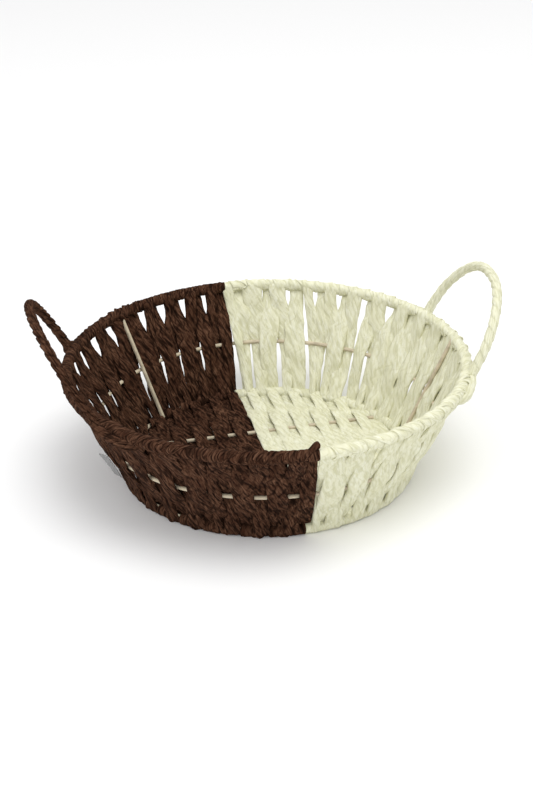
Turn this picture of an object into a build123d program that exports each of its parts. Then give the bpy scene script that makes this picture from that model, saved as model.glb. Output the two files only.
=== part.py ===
from build123d import *
import math
import os

# A round, cone-sided basket: paper rope wound on a painted steel wire frame, with two wrapped loop
# handles. The left half (-X) is brown rope, the right half (+X) cream. Millimetres, +Z up, and the
# origin is on the floor under the middle of the base.

# Driving sizes of the frame
RIM_OUTER_DIAMETER = 300.0
RIM_TOP = 88.0
BASE_RING_RADIUS = 106.5
WIRE_RADIUS = 1.5
WIRE_CLEARANCE = 0.1
WALL_WIRE_ANGLES = {"right": -1.2, "back_left": 129.6, "front_left": 226.6}
WALL_WIRE_ROOM = 1.8
MID_RING_UP_SLOPE = 42.0
BASE_WIRE_OFFSET = 39.0

# Driving sizes of the rope
RIM_WRAP_RADIUS = 4.5
BOTTOM_EDGE_RADIUS = 4.6
BOTTOM_EDGE_HEIGHT = 4.3
PASS_THICKNESS = 2.5
PASS_CLEARANCE = 0.2
END_CLEARANCE = 0.3
STRAND_PITCH = 8.1
STRAND_WIDTH = 7.8
STRAND_THICKNESS = 2.6
STRANDS_PER_HALF = 12

# Each half starts at the back colour line and winds round to the front one. These are the angles at
# which its turns meet, in degrees. Cream ones are the mirror image, and its last turns are even.
BROWN_EDGES = (
    94.0, 102.0, 110.6, 119.3, 129.4, 140.3, 150.0, 158.8, 167.0, 175.8,
    184.6, 193.4, 202.2, 211.0, 221.7, 232.0, 239.3, 246.6, 256.7, 266.6,
)
CREAM_EDGES = (90.0, 97.7, 107.5, 117.9, 125.1, 132.2, 142.0, 151.7, 159.8, 169.0, 177.4)
CREAM_EVEN_START, CREAM_EVEN_TURNS = 187.6, 9
BACK_ANGLE, FRONT_ANGLE = 90.0, 270.0
BROWN_END_PITCH = 7.5

# Each turn has two passes of rope: one goes outside the mid ring and one inside it, and both cross
# to the other side of the rim and base rings. The shares say where they lie in the turn.
TOP_WIDTH_SHARE, BOTTOM_WIDTH_SHARE = 0.42, 0.46
OUTSIDE_TOP, OUTSIDE_BOTTOM = 0.22, 0.27
INSIDE_TOP, INSIDE_BOTTOM = 0.78, 0.76

# Handles: half the width between the feet, the rise up the slope, the outward lean and the turn
# round the rim of each
HANDLES = {"brown": (61.0, 67.5, 28.2, 181.0), "cream": (56.5, 62.5, 29.0, -3.0)}
HANDLE_WRAP_RADIUS = 3.75
HANDLE_FOOT_OFFSET = 3.1
HANDLE_SHOULDER = 0.45
HANDLE_WRAP_START = 4.4

# Small pieces
ROPE_END_RADIUS, ROPE_END_LENGTH, ROPE_END_LEAN = 2.3, 6.0, 35.0
LABEL_LENGTH, LABEL_WIDTH, LABEL_THICKNESS = 24.0, 12.0, 0.6
LABEL_ANGLE, LABEL_UP_SLOPE = 189.0, 25.5
LABEL_LOW_OFFSET, LABEL_HIGH_OFFSET = 3.4, 4.5

# The wall is a straight cone between the base ring and the rim ring.
RIM_RADIUS = RIM_OUTER_DIAMETER / 2 - RIM_WRAP_RADIUS
RIM_HEIGHT = RIM_TOP - RIM_WRAP_RADIUS
SLOPE_RUN = RIM_RADIUS - BASE_RING_RADIUS
SLOPE_RISE = RIM_HEIGHT - BOTTOM_EDGE_HEIGHT
SLOPE_LENGTH = math.hypot(SLOPE_RUN, SLOPE_RISE)
SLOPE_SIN, SLOPE_COS = SLOPE_RUN / SLOPE_LENGTH, SLOPE_RISE / SLOPE_LENGTH
LAYER_OFFSET = WIRE_RADIUS + PASS_CLEARANCE + PASS_THICKNESS / 2


def wall_point(angle, up_slope, offset=0.0):
    """A point of the cone: degrees round it, millimetres up its slope, millimetres outwards."""
    radius = BASE_RING_RADIUS + up_slope * SLOPE_SIN + offset * SLOPE_COS
    height = BOTTOM_EDGE_HEIGHT + up_slope * SLOPE_COS - offset * SLOPE_SIN
    turn = math.radians(angle)
    return Vector(radius * math.cos(turn), radius * math.sin(turn), height)


def ring(radius, height, tube, bore=0.0, start=0.0, sweep=360.0):
    """A round tube bent into a ring or part of one, from start degrees over sweep degrees."""
    section = Circle(tube) - Circle(bore) if bore else Circle(tube)
    placed = Plane.XZ * Pos(radius, height) * section
    return Rot(0, 0, start) * revolve(placed, axis=Axis.Z, revolution_arc=sweep)


def rod(start, end, radius):
    """A straight round rod between two points."""
    run = end - start
    middle = Plane(origin=(start + end) / 2, z_dir=run.normalized())
    return middle * Cylinder(radius, run.length)


def wall_wire(angle, radius):
    """A straight wire on the inner side of the three rings."""
    offset = -2 * WIRE_RADIUS - 0.02
    return rod(wall_point(angle, 0, offset), wall_point(angle, SLOPE_LENGTH, offset), radius)


def base_wire(side, radius):
    """A straight wire across the base, end to end on the inside of the base ring."""
    end = math.sqrt((BASE_RING_RADIUS - WIRE_RADIUS) ** 2 - BASE_WIRE_OFFSET**2) - 0.7
    y = side * BASE_WIRE_OFFSET
    return rod(Vector(-end, y, BOTTOM_EDGE_HEIGHT), Vector(end, y, BOTTOM_EDGE_HEIGHT), radius)


def handle_frame(colour):
    """The plane of one handle: x along the rim, y up the handle, from the middle of its feet."""
    half_width, rise, lean, turn = HANDLES[colour]
    reach = math.sqrt(RIM_RADIUS**2 - half_width**2) + HANDLE_FOOT_OFFSET
    turned = math.radians(turn)
    outward = Vector(math.cos(turned), math.sin(turned), 0)
    along = Vector(-math.sin(turned), math.cos(turned), 0)
    foot = outward * reach + Vector(0, 0, RIM_HEIGHT)
    lean_turn = math.radians(lean)
    up = outward * math.sin(lean_turn) + Vector(0, 0, math.cos(lean_turn))
    return Plane(origin=foot, x_dir=along, z_dir=along.cross(up))


def handle_path(colour, first=0.0):
    """The handle's line: straight feet, then four tangent arcs over the top."""
    half_width, rise = HANDLES[colour][:2]
    corners = [
        (-half_width, first),
        (-half_width, HANDLE_SHOULDER * rise),
        (-HANDLE_SHOULDER * half_width, rise),
        (HANDLE_SHOULDER * half_width, rise),
        (half_width, HANDLE_SHOULDER * rise),
        (half_width, first),
    ]
    slant = (1 - HANDLE_SHOULDER) * math.hypot(half_width, rise)
    lower_turn = math.atan2(half_width, rise)
    upper_turn = math.pi / 2 - lower_turn
    foot_run = HANDLE_SHOULDER * rise - first
    lower = 0.9 * min(foot_run, slant / 2) / math.tan(lower_turn / 2)
    upper = 0.98 * min(slant / 2, HANDLE_SHOULDER * half_width) / math.tan(upper_turn / 2)
    return FilletPolyline(*corners, radius=[lower, upper, upper, lower])


def handle_tube(colour, tube, bore=0.0, first=0.0):
    """A round tube carried along the handle's line."""
    path = handle_frame(colour) * handle_path(colour, first)
    section = Circle(tube) - Circle(bore) if bore else Circle(tube)
    start = path @ 0
    return sweep(Plane(origin=start, z_dir=path % 0) * section, path=path)


def turn_edges(half):
    """The angles at which the turns of one half meet, from the back to the front."""
    if half == "brown":
        return list(BROWN_EDGES)
    step = (FRONT_ANGLE - CREAM_EVEN_START) / CREAM_EVEN_TURNS
    return list(CREAM_EDGES) + [CREAM_EVEN_START + step * k for k in range(CREAM_EVEN_TURNS + 1)]


def mirror_angle(angle, half):
    """Brown angles run from the back round the left, and cream ones are their mirror image."""
    return angle if half == "brown" else 180.0 - angle


def clear_of_wires(low, high, radius):
    """The edges of a pass, in degrees, drawn in where a wall wire would run through them."""
    room = math.degrees(WALL_WIRE_ROOM / radius)
    for wire in WALL_WIRE_ANGLES.values():
        if low - room < wire < (low + high) / 2:
            low = wire + room
        elif (low + high) / 2 <= wire < high + room:
            high = wire - room
    return low, high


def wall_pass(half, pitch, top_angle, bottom_angle, mid_offset):
    """One pass of rope from the rim to the base, woven round the mid ring at that offset."""
    low_slope = BOTTOM_EDGE_RADIUS + END_CLEARANCE
    high_slope = SLOPE_LENGTH - RIM_WRAP_RADIUS - END_CLEARANCE
    half_top, half_bottom = TOP_WIDTH_SHARE * pitch / 2, BOTTOM_WIDTH_SHARE * pitch / 2
    sections = []
    stations = ((low_slope, -mid_offset), (MID_RING_UP_SLOPE, mid_offset), (high_slope, -mid_offset))
    for up_slope, offset in stations:
        share = (up_slope - low_slope) / (high_slope - low_slope)
        middle = mirror_angle(bottom_angle + (top_angle - bottom_angle) * share, half)
        spread = half_bottom + (half_top - half_bottom) * share
        radius = BASE_RING_RADIUS + up_slope * SLOPE_SIN
        low, high = clear_of_wires(middle - spread, middle + spread, radius)
        inner, outer = offset - PASS_THICKNESS / 2, offset + PASS_THICKNESS / 2
        corners = [(low, inner), (high, inner), (high, outer), (low, outer)]
        outline = Polyline(*(wall_point(angle, up_slope, out) for angle, out in corners), close=True)
        sections.append(make_face(outline))
    return loft(sections, ruled=True)


def wall_passes(half, side):
    """All the passes of one colour that go on one side of the mid ring, outside or inside it."""
    edges = turn_edges(half)
    if side == "outside":
        top, bottom, mid_offset = OUTSIDE_TOP, OUTSIDE_BOTTOM, LAYER_OFFSET
    else:
        top, bottom, mid_offset = INSIDE_TOP, INSIDE_BOTTOM, -LAYER_OFFSET
    passes = []
    for low_edge, high_edge in zip(edges, edges[1:]):
        pitch = high_edge - low_edge
        passes.append(wall_pass(half, pitch, low_edge + top * pitch, low_edge + bottom * pitch, mid_offset))
    if half == "brown":
        end = (BACK_ANGLE + edges[0]) / 2 if side == "inside" else (edges[-1] + FRONT_ANGLE) / 2
        passes.append(wall_pass(half, BROWN_END_PITCH, end, end, mid_offset))
    return passes


def base_strands(half, level):
    """Every second base strand of one colour: under both base wires, or over them."""
    side = -1 if half == "brown" else 1
    first = 0 if (half == "brown") == (level == "lower") else 1
    inner_edge = BASE_RING_RADIUS - BOTTOM_EDGE_RADIUS - END_CLEARANCE
    if level == "lower":
        bottom = 0.0
    else:
        bottom = BOTTOM_EDGE_HEIGHT + WIRE_RADIUS + PASS_CLEARANCE
    strands = []
    for k in range(first, STRANDS_PER_HALF, 2):
        middle = (k + 0.5) * STRAND_PITCH
        outer = middle + STRAND_WIDTH / 2
        length = 2 * math.sqrt(inner_edge**2 - outer**2)
        place = Pos(side * middle, 0, bottom + STRAND_THICKNESS / 2)
        strands.append(place * Box(STRAND_WIDTH, length, STRAND_THICKNESS))
    return strands


def rope_end():
    """The stub of rope that stands on the front rim, clear of the turns under it."""
    foot = Pos(-2.0, -RIM_RADIUS, RIM_TOP + 0.3)
    upright = Cylinder(ROPE_END_RADIUS, ROPE_END_LENGTH, align=(Align.CENTER, Align.CENTER, Align.MIN))
    return foot * Rot(0, ROPE_END_LEAN, 0) * Pos(0, 0, 1.4) * upright


def blank_label():
    """The blank label on the outside of the brown wall, a little loose at its top."""
    low = wall_point(LABEL_ANGLE, LABEL_UP_SLOPE - LABEL_LENGTH / 2, LABEL_LOW_OFFSET)
    high = wall_point(LABEL_ANGLE, LABEL_UP_SLOPE + LABEL_LENGTH / 2, LABEL_HIGH_OFFSET)
    up = (high - low).normalized()
    turn = math.radians(LABEL_ANGLE)
    across = Vector(-math.sin(turn), math.cos(turn), 0)
    flat = Plane(origin=(low + high) / 2, x_dir=across, z_dir=across.cross(up))
    return flat * Box(LABEL_WIDTH, LABEL_LENGTH, LABEL_THICKNESS)


def save(name, *solids):
    """Write one node."""
    export_step(Compound(label=name, children=list(solids)), f"parts/{name}.step")


def wire_holes():
    """The room that the rope leaves for the straight wires and the handles' feet."""
    radius = WIRE_RADIUS + WIRE_CLEARANCE
    holes = [wall_wire(angle, radius) for angle in WALL_WIRE_ANGLES.values()]
    holes += [base_wire(side, radius) for side in (-1, 1)]
    holes += [handle_tube(colour, radius) for colour in HANDLES]
    return holes


def build():
    os.makedirs("parts", exist_ok=True)

    # Wire frame
    middle = wall_point(0, MID_RING_UP_SLOPE)
    save("rim_wire", ring(RIM_RADIUS, RIM_HEIGHT, WIRE_RADIUS))
    save("mid_ring_wire", ring(middle.X, middle.Z, WIRE_RADIUS))
    save("base_ring_wire", ring(BASE_RING_RADIUS, BOTTOM_EDGE_HEIGHT, WIRE_RADIUS))
    for place, angle in WALL_WIRE_ANGLES.items():
        save(f"wall_wire_{place}", wall_wire(angle, WIRE_RADIUS))
    for place, side in (("front", -1), ("back", 1)):
        save(f"base_wire_{place}", base_wire(side, WIRE_RADIUS))

    holes = wire_holes()
    bore = WIRE_RADIUS + WIRE_CLEARANCE
    floor = Pos(0, 0, -10) * Box(400, 400, 20)
    for half, start in (("brown", 90.0), ("cream", -90.0)):
        # Handle and the turns over the rim
        save(f"handle_wire_{half}", handle_tube(half, WIRE_RADIUS))
        save(f"handle_wrap_{half}", handle_tube(half, HANDLE_WRAP_RADIUS, bore, HANDLE_WRAP_START))
        wrap = ring(RIM_RADIUS, RIM_HEIGHT, RIM_WRAP_RADIUS, bore, start, 180.0)
        edge = ring(BASE_RING_RADIUS, BOTTOM_EDGE_HEIGHT, BOTTOM_EDGE_RADIUS, bore, start, 180.0)
        for hole in holes:
            wrap -= hole
            edge -= hole
        save(f"rim_wrap_{half}", wrap)
        save(f"bottom_edge_{half}", edge - floor)

        # Wall and base
        for side in ("outside", "inside"):
            save(f"wall_{side}_ring_{half}", *wall_passes(half, side))
        for level in ("lower", "upper"):
            save(f"base_{level}_{half}", *base_strands(half, level))

    save("rope_end_brown", rope_end())
    save("blank_label", blank_label())


build()
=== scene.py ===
"""A round, cone-sided basket of crumpled paper rope wound on a painted wire frame.

The left half (-X) is brown rope and the right half (+X) is cream. Metres, +Z up, floor at zero. Every
stretch of rope is a band: a flat oval section carried along a path, with pleats that wind round it.
"""

import math

import bpy
import numpy as np
from mathutils import Matrix, Vector


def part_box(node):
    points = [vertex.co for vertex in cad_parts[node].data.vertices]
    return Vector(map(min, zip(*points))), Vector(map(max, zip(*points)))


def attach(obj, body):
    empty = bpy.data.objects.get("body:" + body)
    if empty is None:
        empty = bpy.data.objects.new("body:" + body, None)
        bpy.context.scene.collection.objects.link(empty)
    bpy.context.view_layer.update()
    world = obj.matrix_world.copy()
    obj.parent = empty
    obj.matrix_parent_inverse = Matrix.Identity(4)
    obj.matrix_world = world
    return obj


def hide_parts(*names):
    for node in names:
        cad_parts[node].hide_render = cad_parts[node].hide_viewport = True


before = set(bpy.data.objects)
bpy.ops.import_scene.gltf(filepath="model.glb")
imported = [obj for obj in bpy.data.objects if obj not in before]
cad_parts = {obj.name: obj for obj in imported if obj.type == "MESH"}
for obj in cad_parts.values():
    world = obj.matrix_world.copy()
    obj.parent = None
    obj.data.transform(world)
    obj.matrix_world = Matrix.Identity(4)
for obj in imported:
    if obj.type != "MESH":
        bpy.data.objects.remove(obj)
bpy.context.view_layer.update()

bl_info = {
    "name": "Paper Rope Basket",
    "version": (1, 0, 0),
    "blender": (4, 5, 0),
    "location": "3D View > Sidebar > Basket",
    "description": "Builds the rope, handles and finishes of a two-colour basket round its wire frame",
    "category": "Add Mesh",
}

MM = 0.001

# The wire frame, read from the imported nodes
WIRE_NODES = (
    "rim_wire", "mid_ring_wire", "base_ring_wire", "wall_wire_right", "wall_wire_back_left",
    "wall_wire_front_left", "base_wire_front", "base_wire_back", "handle_wire_brown", "handle_wire_cream",
)


def ring_of(node):
    """(radius, height) of a ring node, in millimetres, from its box."""
    low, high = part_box(node)
    tube = (high[2] - low[2]) / 2
    return ((high[0] - low[0]) / 2 - tube) / MM, (high[2] + low[2]) / 2 / MM


RIM_RADIUS, RIM_HEIGHT = ring_of("rim_wire")
MID_HEIGHT = ring_of("mid_ring_wire")[1]
BASE_RADIUS, BASE_HEIGHT = ring_of("base_ring_wire")
SLOPE_LENGTH = math.hypot(RIM_RADIUS - BASE_RADIUS, RIM_HEIGHT - BASE_HEIGHT)
SLOPE_SIN = (RIM_RADIUS - BASE_RADIUS) / SLOPE_LENGTH
SLOPE_COS = (RIM_HEIGHT - BASE_HEIGHT) / SLOPE_LENGTH
MID_SLOPE = (MID_HEIGHT - BASE_HEIGHT) / SLOPE_COS
BASE_WIRE_Y = abs(sum(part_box("base_wire_back")[i][1] for i in (0, 1)) / 2 / MM)

# The turns of rope round each half, from the back colour line (90 degrees) to the front one (270).
# A turn goes down outside the mid ring and up inside it. Each row is one turn. Four numbers give the slit
# that starts it: its angle at the rim and at the base, in degrees, then its width there, in millimetres.
# The next four give the gap between its two passes in the same way. With a width of zero at one end it
# closes on the way there, and with two zeros the passes lap.
BROWN_TURNS = (
    (93.9, 93.9, 0.0, 0.0, 97.6, 97.2, 3.4, 0.0),
    (101.2, 102.6, 0.0, 1.3, 105.2, 105.3, 5.0, 0.0),
    (108.9, 112.3, 0.0, 1.2, 112.9, 114.6, 5.6, 0.0),
    (116.8, 120.9, 0.0, 1.1, 120.5, 122.6, 4.2, 0.0),
    (127.4, 131.6, 0.0, 2.9, 135.5, 133.6, 4.4, 0.0),
    (139.0, 141.2, 0.0, 0.0, 144.8, 145.2, 4.6, 0.0),
    (148.8, 151.0, 0.0, 0.0, 154.6, 155.0, 3.6, 0.0),
    (157.6, 159.8, 0.0, 0.0, 162.5, 163.0, 3.4, 0.0),
    (166.2, 167.8, 0.0, 0.0, 171.0, 171.4, 1.6, 0.0),
    (175.0, 176.6, 0.0, 0.0, 179.8, 180.2, 1.2, 0.0),
    (183.8, 185.4, 0.0, 0.0, 188.6, 189.0, 1.0, 0.0),
    (192.6, 194.0, 0.0, 0.0, 197.4, 197.8, 0.8, 0.0),
    (201.4, 202.8, 0.0, 0.0, 206.2, 206.6, 0.6, 0.0),
    (210.4, 211.4, 0.0, 0.5, 217.0, 217.2, 0.0, 0.0),
    (221.3, 222.0, 0.0, 0.5, 227.0, 227.8, 1.6, 0.0),
    (231.8, 232.6, 0.0, 0.0, 238.0, 238.2, 0.0, 0.0),
    (239.2, 239.4, 0.0, 0.0, 242.0, 242.0, 0.0, 0.0),
    (246.4, 246.4, 0.0, 0.4, 252.0, 252.2, 0.5, 0.0),
    (256.5, 257.2, 0.0, 0.4, 262.0, 262.2, 0.4, 0.0),
    (266.6, 267.0, 0.0, 0.0, 270.6, 272.9, 0.0, 0.0),
)
CREAM_TURNS = (
    (88.9, 92.8, 0.0, 3.0, 91.2, 94.4, 0.0, 0.0),
    (96.6, 97.8, 0.0, 2.8, 101.9, 102.0, 1.6, 0.0),
    (105.6, 109.2, 0.0, 4.6, 110.3, 112.6, 4.8, 0.0),
    (115.2, 121.2, 1.9, 5.2, 119.3, 123.4, 4.2, 0.0),
    (124.2, 126.8, 0.0, 2.6, 127.7, 129.0, 4.8, 0.0),
    (132.2, 131.8, 0.0, 0.0, 136.8, 137.9, 5.0, 3.4),
    (141.4, 144.6, 0.0, 3.6, 146.6, 146.9, 6.8, 0.0),
    (151.4, 152.0, 0.0, 0.0, 154.0, 154.4, 0.0, 0.0),
    (159.2, 160.2, 0.0, 0.0, 162.6, 163.0, 0.0, 0.0),
    (168.0, 169.6, 0.0, 0.5, 172.0, 172.4, 0.0, 0.0),
    (176.8, 178.2, 0.0, 0.5, 181.6, 182.0, 0.0, 0.0),
)
CREAM_EVEN_START, CREAM_EVEN_END, CREAM_EVEN_TURNS = 187.6, 270.0, 9
# The cream turns whose passes lie on the other side of the mid ring: both passes, and the inside one only
CREAM_SWAPPED_TURN, CREAM_LOOSE_TURN = 0, 3
# One even turn stands a little apart from the one before it
CREAM_CRACK_TURN, CREAM_CRACK_WIDTH = 7, 2.2
# The brown pass beside the back colour line, from and to, in degrees
BROWN_FIRST_PASS = (89.7, 93.9)
# The rounded edges of two passes make a gap look this much wider, in millimetres
EDGE_ROUND = 1.1
# Rows along a pass: on its way up the wall, round a ring, and in the tail that hangs down from the rim
WALL_ROWS, ARC_ROWS, TAIL_ROWS = 84, 12, 8
# How far a band draws in to its tip, half the least width of a pass, and half its most over a ring
TIP_LENGTH, NARROWEST, BUNCHED = 3.0, 2.4, 4.6
# Where the random draws of each half start, after the seed
HALF_SEED = {"brown": 0, "cream": 500}
# The middle of the picture, in metres: a point over the floor, then right and up from it
LOOK_AT, LOOK_RIGHT, LOOK_UP = (0.0, 0.0, 0.038), -0.00054, 0.01217
LAMP_TARGET = (0.0, 0.0, 0.05)


# ---------------------------------------------------------------- settings


class RopeSettings(bpy.types.PropertyGroup):
    """Sizes of the rope, in millimetres where no unit is given."""

    hook_radius: bpy.props.FloatProperty(
        name="Hook radius", description="From the middle of a ring to the middle of the rope round it",
        default=2.8, min=2.0, max=6.0)
    half_thickness: bpy.props.FloatProperty(
        name="Half thickness", description="Half the thickness of a flattened pass",
        default=1.3, min=0.5, max=4.0)
    wall_thickness: bpy.props.FloatProperty(
        name="Wall thickness", description="Half the thickness of the passes of the wall", default=1.65,
        min=0.5, max=4.0)
    brown_overlap: bpy.props.FloatProperty(
        name="Brown overlap", description="How far brown passes lap where there is no gap", default=3.8,
        min=0.0, max=8.0)
    cream_overlap: bpy.props.FloatProperty(
        name="Cream overlap", description="How far cream passes lap where there is no gap", default=6.2,
        min=0.0, max=8.0)
    twist_lead: bpy.props.FloatProperty(
        name="Twist lead", description="Length of rope in which its pleats wind round once", default=80.0,
        min=10.0, max=400.0)
    brown_pleats: bpy.props.FloatProperty(
        name="Brown pleats", description="Depth of the pleats in the brown rope",
        default=0.7, min=0.0, max=2.0)
    cream_pleats: bpy.props.FloatProperty(
        name="Cream pleats", description="Depth of the pleats in the cream rope",
        default=0.24, min=0.0, max=2.0)
    strand_pitch: bpy.props.FloatProperty(
        name="Strand pitch", description="Spacing of the base strands", default=8.1, min=2.0, max=30.0)
    strands: bpy.props.IntProperty(
        name="Strands", description="Base strands in each half", default=12, min=2, max=30)
    seed: bpy.props.IntProperty(name="Seed", description="Start of the random draws", default=11, min=0)


class HandleSettings(bpy.types.PropertyGroup):
    """The two handles, in millimetres and degrees."""

    wrap_radius: bpy.props.FloatProperty(
        name="Wrap radius", description="Outer radius of the wrapped handle", default=3.75, min=1.0, max=12.0)
    brown_half_width: bpy.props.FloatProperty(
        name="Brown half width", description="Half the distance between the brown handle's feet",
        default=61.0)
    brown_rise: bpy.props.FloatProperty(
        name="Brown rise", description="Length of the brown handle above the rim", default=67.5)
    brown_lean: bpy.props.FloatProperty(
        name="Brown lean", description="Outward lean of the brown handle", default=28.2)
    brown_turn: bpy.props.FloatProperty(
        name="Brown turn", description="Where round the rim the brown handle stands", default=181.0)
    cream_half_width: bpy.props.FloatProperty(
        name="Cream half width", description="Half the distance between the cream handle's feet",
        default=56.5)
    cream_rise: bpy.props.FloatProperty(
        name="Cream rise", description="Length of the cream handle above the rim", default=62.5)
    cream_lean: bpy.props.FloatProperty(
        name="Cream lean", description="Outward lean of the cream handle", default=29.0)
    cream_turn: bpy.props.FloatProperty(
        name="Cream turn", description="Where round the rim the cream handle stands", default=-3.0)


class FinishSettings(bpy.types.PropertyGroup):
    """Colours of the rope, the wire and the label. Each rope's light colour is painted highlight on its
    fibres and crests, and its dark colour is painted shade in its creases.
    """

    # The light colour is painted highlight: it is mixed in on bright fibres, most on the crests of the
    # pleats.
    brown_highlight: bpy.props.FloatVectorProperty(
        name="Brown light", description="Brown paper on the crests of its pleats", subtype="COLOR", size=4,
        default=(0.145, 0.074, 0.044, 1.0), min=0.0, max=1.0)
    brown_mid: bpy.props.FloatVectorProperty(
        name="Brown", description="Brown paper", subtype="COLOR", size=4,
        default=(0.036, 0.0135, 0.0072, 1.0), min=0.0, max=1.0)
    # The dark colour is painted shade in the creases of the pleats.
    brown_crease_shade: bpy.props.FloatVectorProperty(
        name="Brown dark", description="Brown paper in its creases", subtype="COLOR", size=4,
        default=(0.0065, 0.0024, 0.0012, 1.0), min=0.0, max=1.0)
    # As for brown: the light colour is painted highlight on fibres and crests.
    cream_highlight: bpy.props.FloatVectorProperty(
        name="Cream light", description="Cream paper on the crests of its pleats", subtype="COLOR", size=4,
        default=(0.80, 0.80, 0.66, 1.0), min=0.0, max=1.0)
    cream_mid: bpy.props.FloatVectorProperty(
        name="Cream", description="Cream paper", subtype="COLOR", size=4,
        default=(0.71, 0.70, 0.50, 1.0), min=0.0, max=1.0)
    # As for brown: the dark colour is painted shade in the creases.
    cream_crease_shade: bpy.props.FloatVectorProperty(
        name="Cream dark", description="Cream paper in its creases", subtype="COLOR", size=4,
        default=(0.34, 0.33, 0.11, 1.0), min=0.0, max=1.0)
    wire: bpy.props.FloatVectorProperty(
        name="Wire", description="Paint of the wire frame", subtype="COLOR", size=4,
        default=(0.60, 0.52, 0.38, 1.0), min=0.0, max=1.0)
    label: bpy.props.FloatVectorProperty(
        name="Label", description="Film of the blank label", subtype="COLOR", size=4,
        default=(0.21, 0.21, 0.21, 1.0), min=0.0, max=1.0)


class StageSettings(bpy.types.PropertyGroup):
    """Floor, lights and camera."""

    floor_size: bpy.props.FloatProperty(
        name="Floor size", description="Side of the floor", default=12.0, unit="LENGTH")
    world_strength: bpy.props.FloatProperty(
        name="World strength", description="Brightness of the surrounding light", default=0.9)
    key_power: bpy.props.FloatProperty(
        name="Key power", description="Power of the large soft light above the front",
        default=20.0, unit="POWER")
    fill_power: bpy.props.FloatProperty(
        name="Fill power", description="Power of the soft light from the left", default=8.0, unit="POWER")
    lens: bpy.props.FloatProperty(name="Lens", description="Focal length of the camera", default=67.5)
    azimuth: bpy.props.FloatProperty(
        name="Azimuth", description="Turn of the camera round the basket, degrees", default=-12.95)
    elevation: bpy.props.FloatProperty(
        name="Elevation", description="Height of the camera's view, degrees", default=26.97)
    roll: bpy.props.FloatProperty(
        name="Roll", description="Turn of the camera about its view line, degrees", default=-1.08)
    distance: bpy.props.FloatProperty(
        name="Distance", description="From the camera to its target", default=1.11874, unit="LENGTH")


# ---------------------------------------------------------------- rope geometry


def unit(vectors):
    """Each vector divided by its length."""
    return vectors / np.maximum(np.linalg.norm(vectors, axis=-1, keepdims=True), 1e-12)


def smooth_step(x):
    """The cubic 3x^2 - 2x^3, held to the range 0 to 1."""
    x = np.clip(x, 0.0, 1.0)
    return x * x * (3.0 - 2.0 * x)


def lengths_along(points):
    """The distance along each line of points, (bands, rows): the running sum of its steps, from zero."""
    steps = np.linalg.norm(np.diff(points, axis=1), axis=-1)
    return np.concatenate([np.zeros((len(points), 1)), np.cumsum(steps, 1)], 1)


def round_tip(share, least):
    """A quarter circle from least at 0 to 1 at 1: the root of 1 - (1 - share)^2."""
    return np.sqrt(np.clip(1 - (1 - share) ** 2, least, 1.0))


def radial_of(degrees):
    """Unit vectors that point straight out from the middle of the basket."""
    turn = np.radians(degrees)
    return np.stack([np.cos(turn), np.sin(turn), 0 * turn], -1)


def square_to(direction, tangent):
    """The part of a direction that is square to a line, made one long."""
    return unit(direction - tangent * np.sum(direction * tangent, -1, keepdims=True))


def wall_point(angle, up_slope, offset):
    """Points of the cone, in millimetres: degrees round it, millimetres up its slope and outwards from it.

    The radius grows with the sine of the slope and the height with its cosine; an offset goes square to both.
    """
    radius = BASE_RADIUS + up_slope * SLOPE_SIN + offset * SLOPE_COS
    height = BASE_HEIGHT + up_slope * SLOPE_COS - offset * SLOPE_SIN
    turn = np.radians(angle)
    return np.stack([radius * np.cos(turn), radius * np.sin(turn), height + 0.0 * turn], -1)


def wander(rng, count, along, length, waves=4):
    """A slow wander between about -1 and 1 for each of count bands: a sum of sines of random phase.

    along is in millimetres, (count, rows), and the first sine's wavelength is length, then each is shorter.
    """
    total = np.zeros_like(along)
    for n in range(waves):
        phase = rng.uniform(0, 2 * math.pi, (count, 1))
        pace = rng.uniform(0.75, 1.25, (count, 1)) * (n + 1)
        total += np.sin(2 * math.pi * along * pace / length + phase) / (n + 1)
    return total / 1.6


def lumps(rng, count, across, along, length, waves=5):
    """Soft lumps between about -1 and 1: a sum of plane waves in random directions over each band."""
    total = np.zeros(np.broadcast_shapes(across.shape, along.shape))
    for _ in range(waves):
        turn = rng.uniform(-0.9, 0.9, (count, 1, 1))
        pace = rng.uniform(0.7, 1.6, (count, 1, 1)) * 2 * math.pi / length
        phase = rng.uniform(0, 2 * math.pi, (count, 1, 1))
        total += np.sin(pace * (along * np.cos(turn) + 2.2 * across * np.sin(turn)) + phase)
    return total / (0.7 * waves)


def pleats(rng, count, around, along, lead, folds=(5, 8)):
    """Pleats that wind round the rope, from 0 in a crease to 1 on a crest.

    Each set is the absolute sine of folds times the turn round the section plus the length over the lead,
    raised to a power below one, so that crests are round and creases are sharp.
    """
    drift = wander(rng, count, along[:, :, 0], 34.0)[:, :, None] * 0.16
    total = np.zeros(np.broadcast_shapes(around.shape, along.shape))
    weight = 0.0
    for n, number in enumerate(folds):
        phase = rng.uniform(0, 1, (count, 1, 1))
        pace = lead * rng.uniform(0.8, 1.3, (count, 1, 1))
        share = 1.0 / (n + 1)
        fold = np.abs(np.sin(math.pi * (number * (around + along / pace) + phase + number * drift)))
        total += share * fold ** 0.6
        weight += share
    return total / weight


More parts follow.
